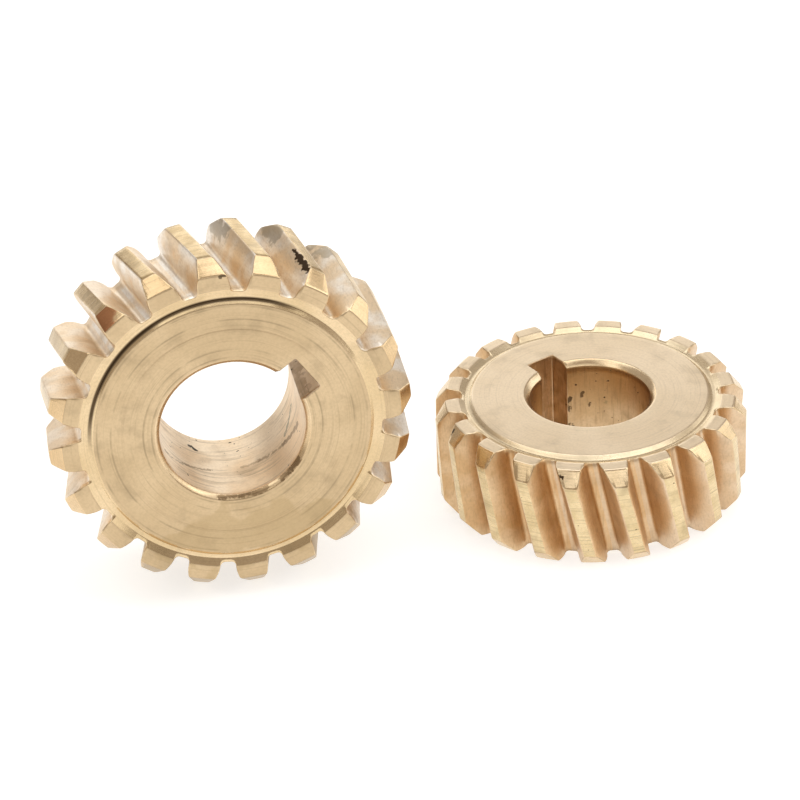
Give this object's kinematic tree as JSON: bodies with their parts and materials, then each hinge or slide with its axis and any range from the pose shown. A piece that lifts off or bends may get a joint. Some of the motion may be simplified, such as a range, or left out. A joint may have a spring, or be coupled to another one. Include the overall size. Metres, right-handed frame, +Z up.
{
  "type": "worm wheel pair",
  "caption": "Loose bronze worm wheels with left-hand helical teeth, keyed through bores and turned faces, the larger standing on its rim and the smaller lying flat.",
  "frame": {"origin": "centre of the footprint of the wheels, on the surface they rest on", "axes": "+X from the standing wheel to the flat wheel, +Y to the back, +Z up along the flat wheel's bore"},
  "size_m": [0.1106, 0.0494, 0.0558],
  "materials": {
    "standing_bronze": "machined",
    "flat_bronze": "machined"
  },
  "bodies": {
    "flat_wheel": {"flat_wheel": "flat_bronze"},
    "standing_wheel": {"standing_wheel": "standing_bronze"}
  },
  "joints": [
    {"name": "standing_wheel_turn", "type": "hinge", "parent": "flat_wheel", "child": "standing_wheel", "pos_m": [-0.02778, -0.0061, 0.02792], "axis": [0, -0.9976, 0.0698], "continuous": true}
  ]
}
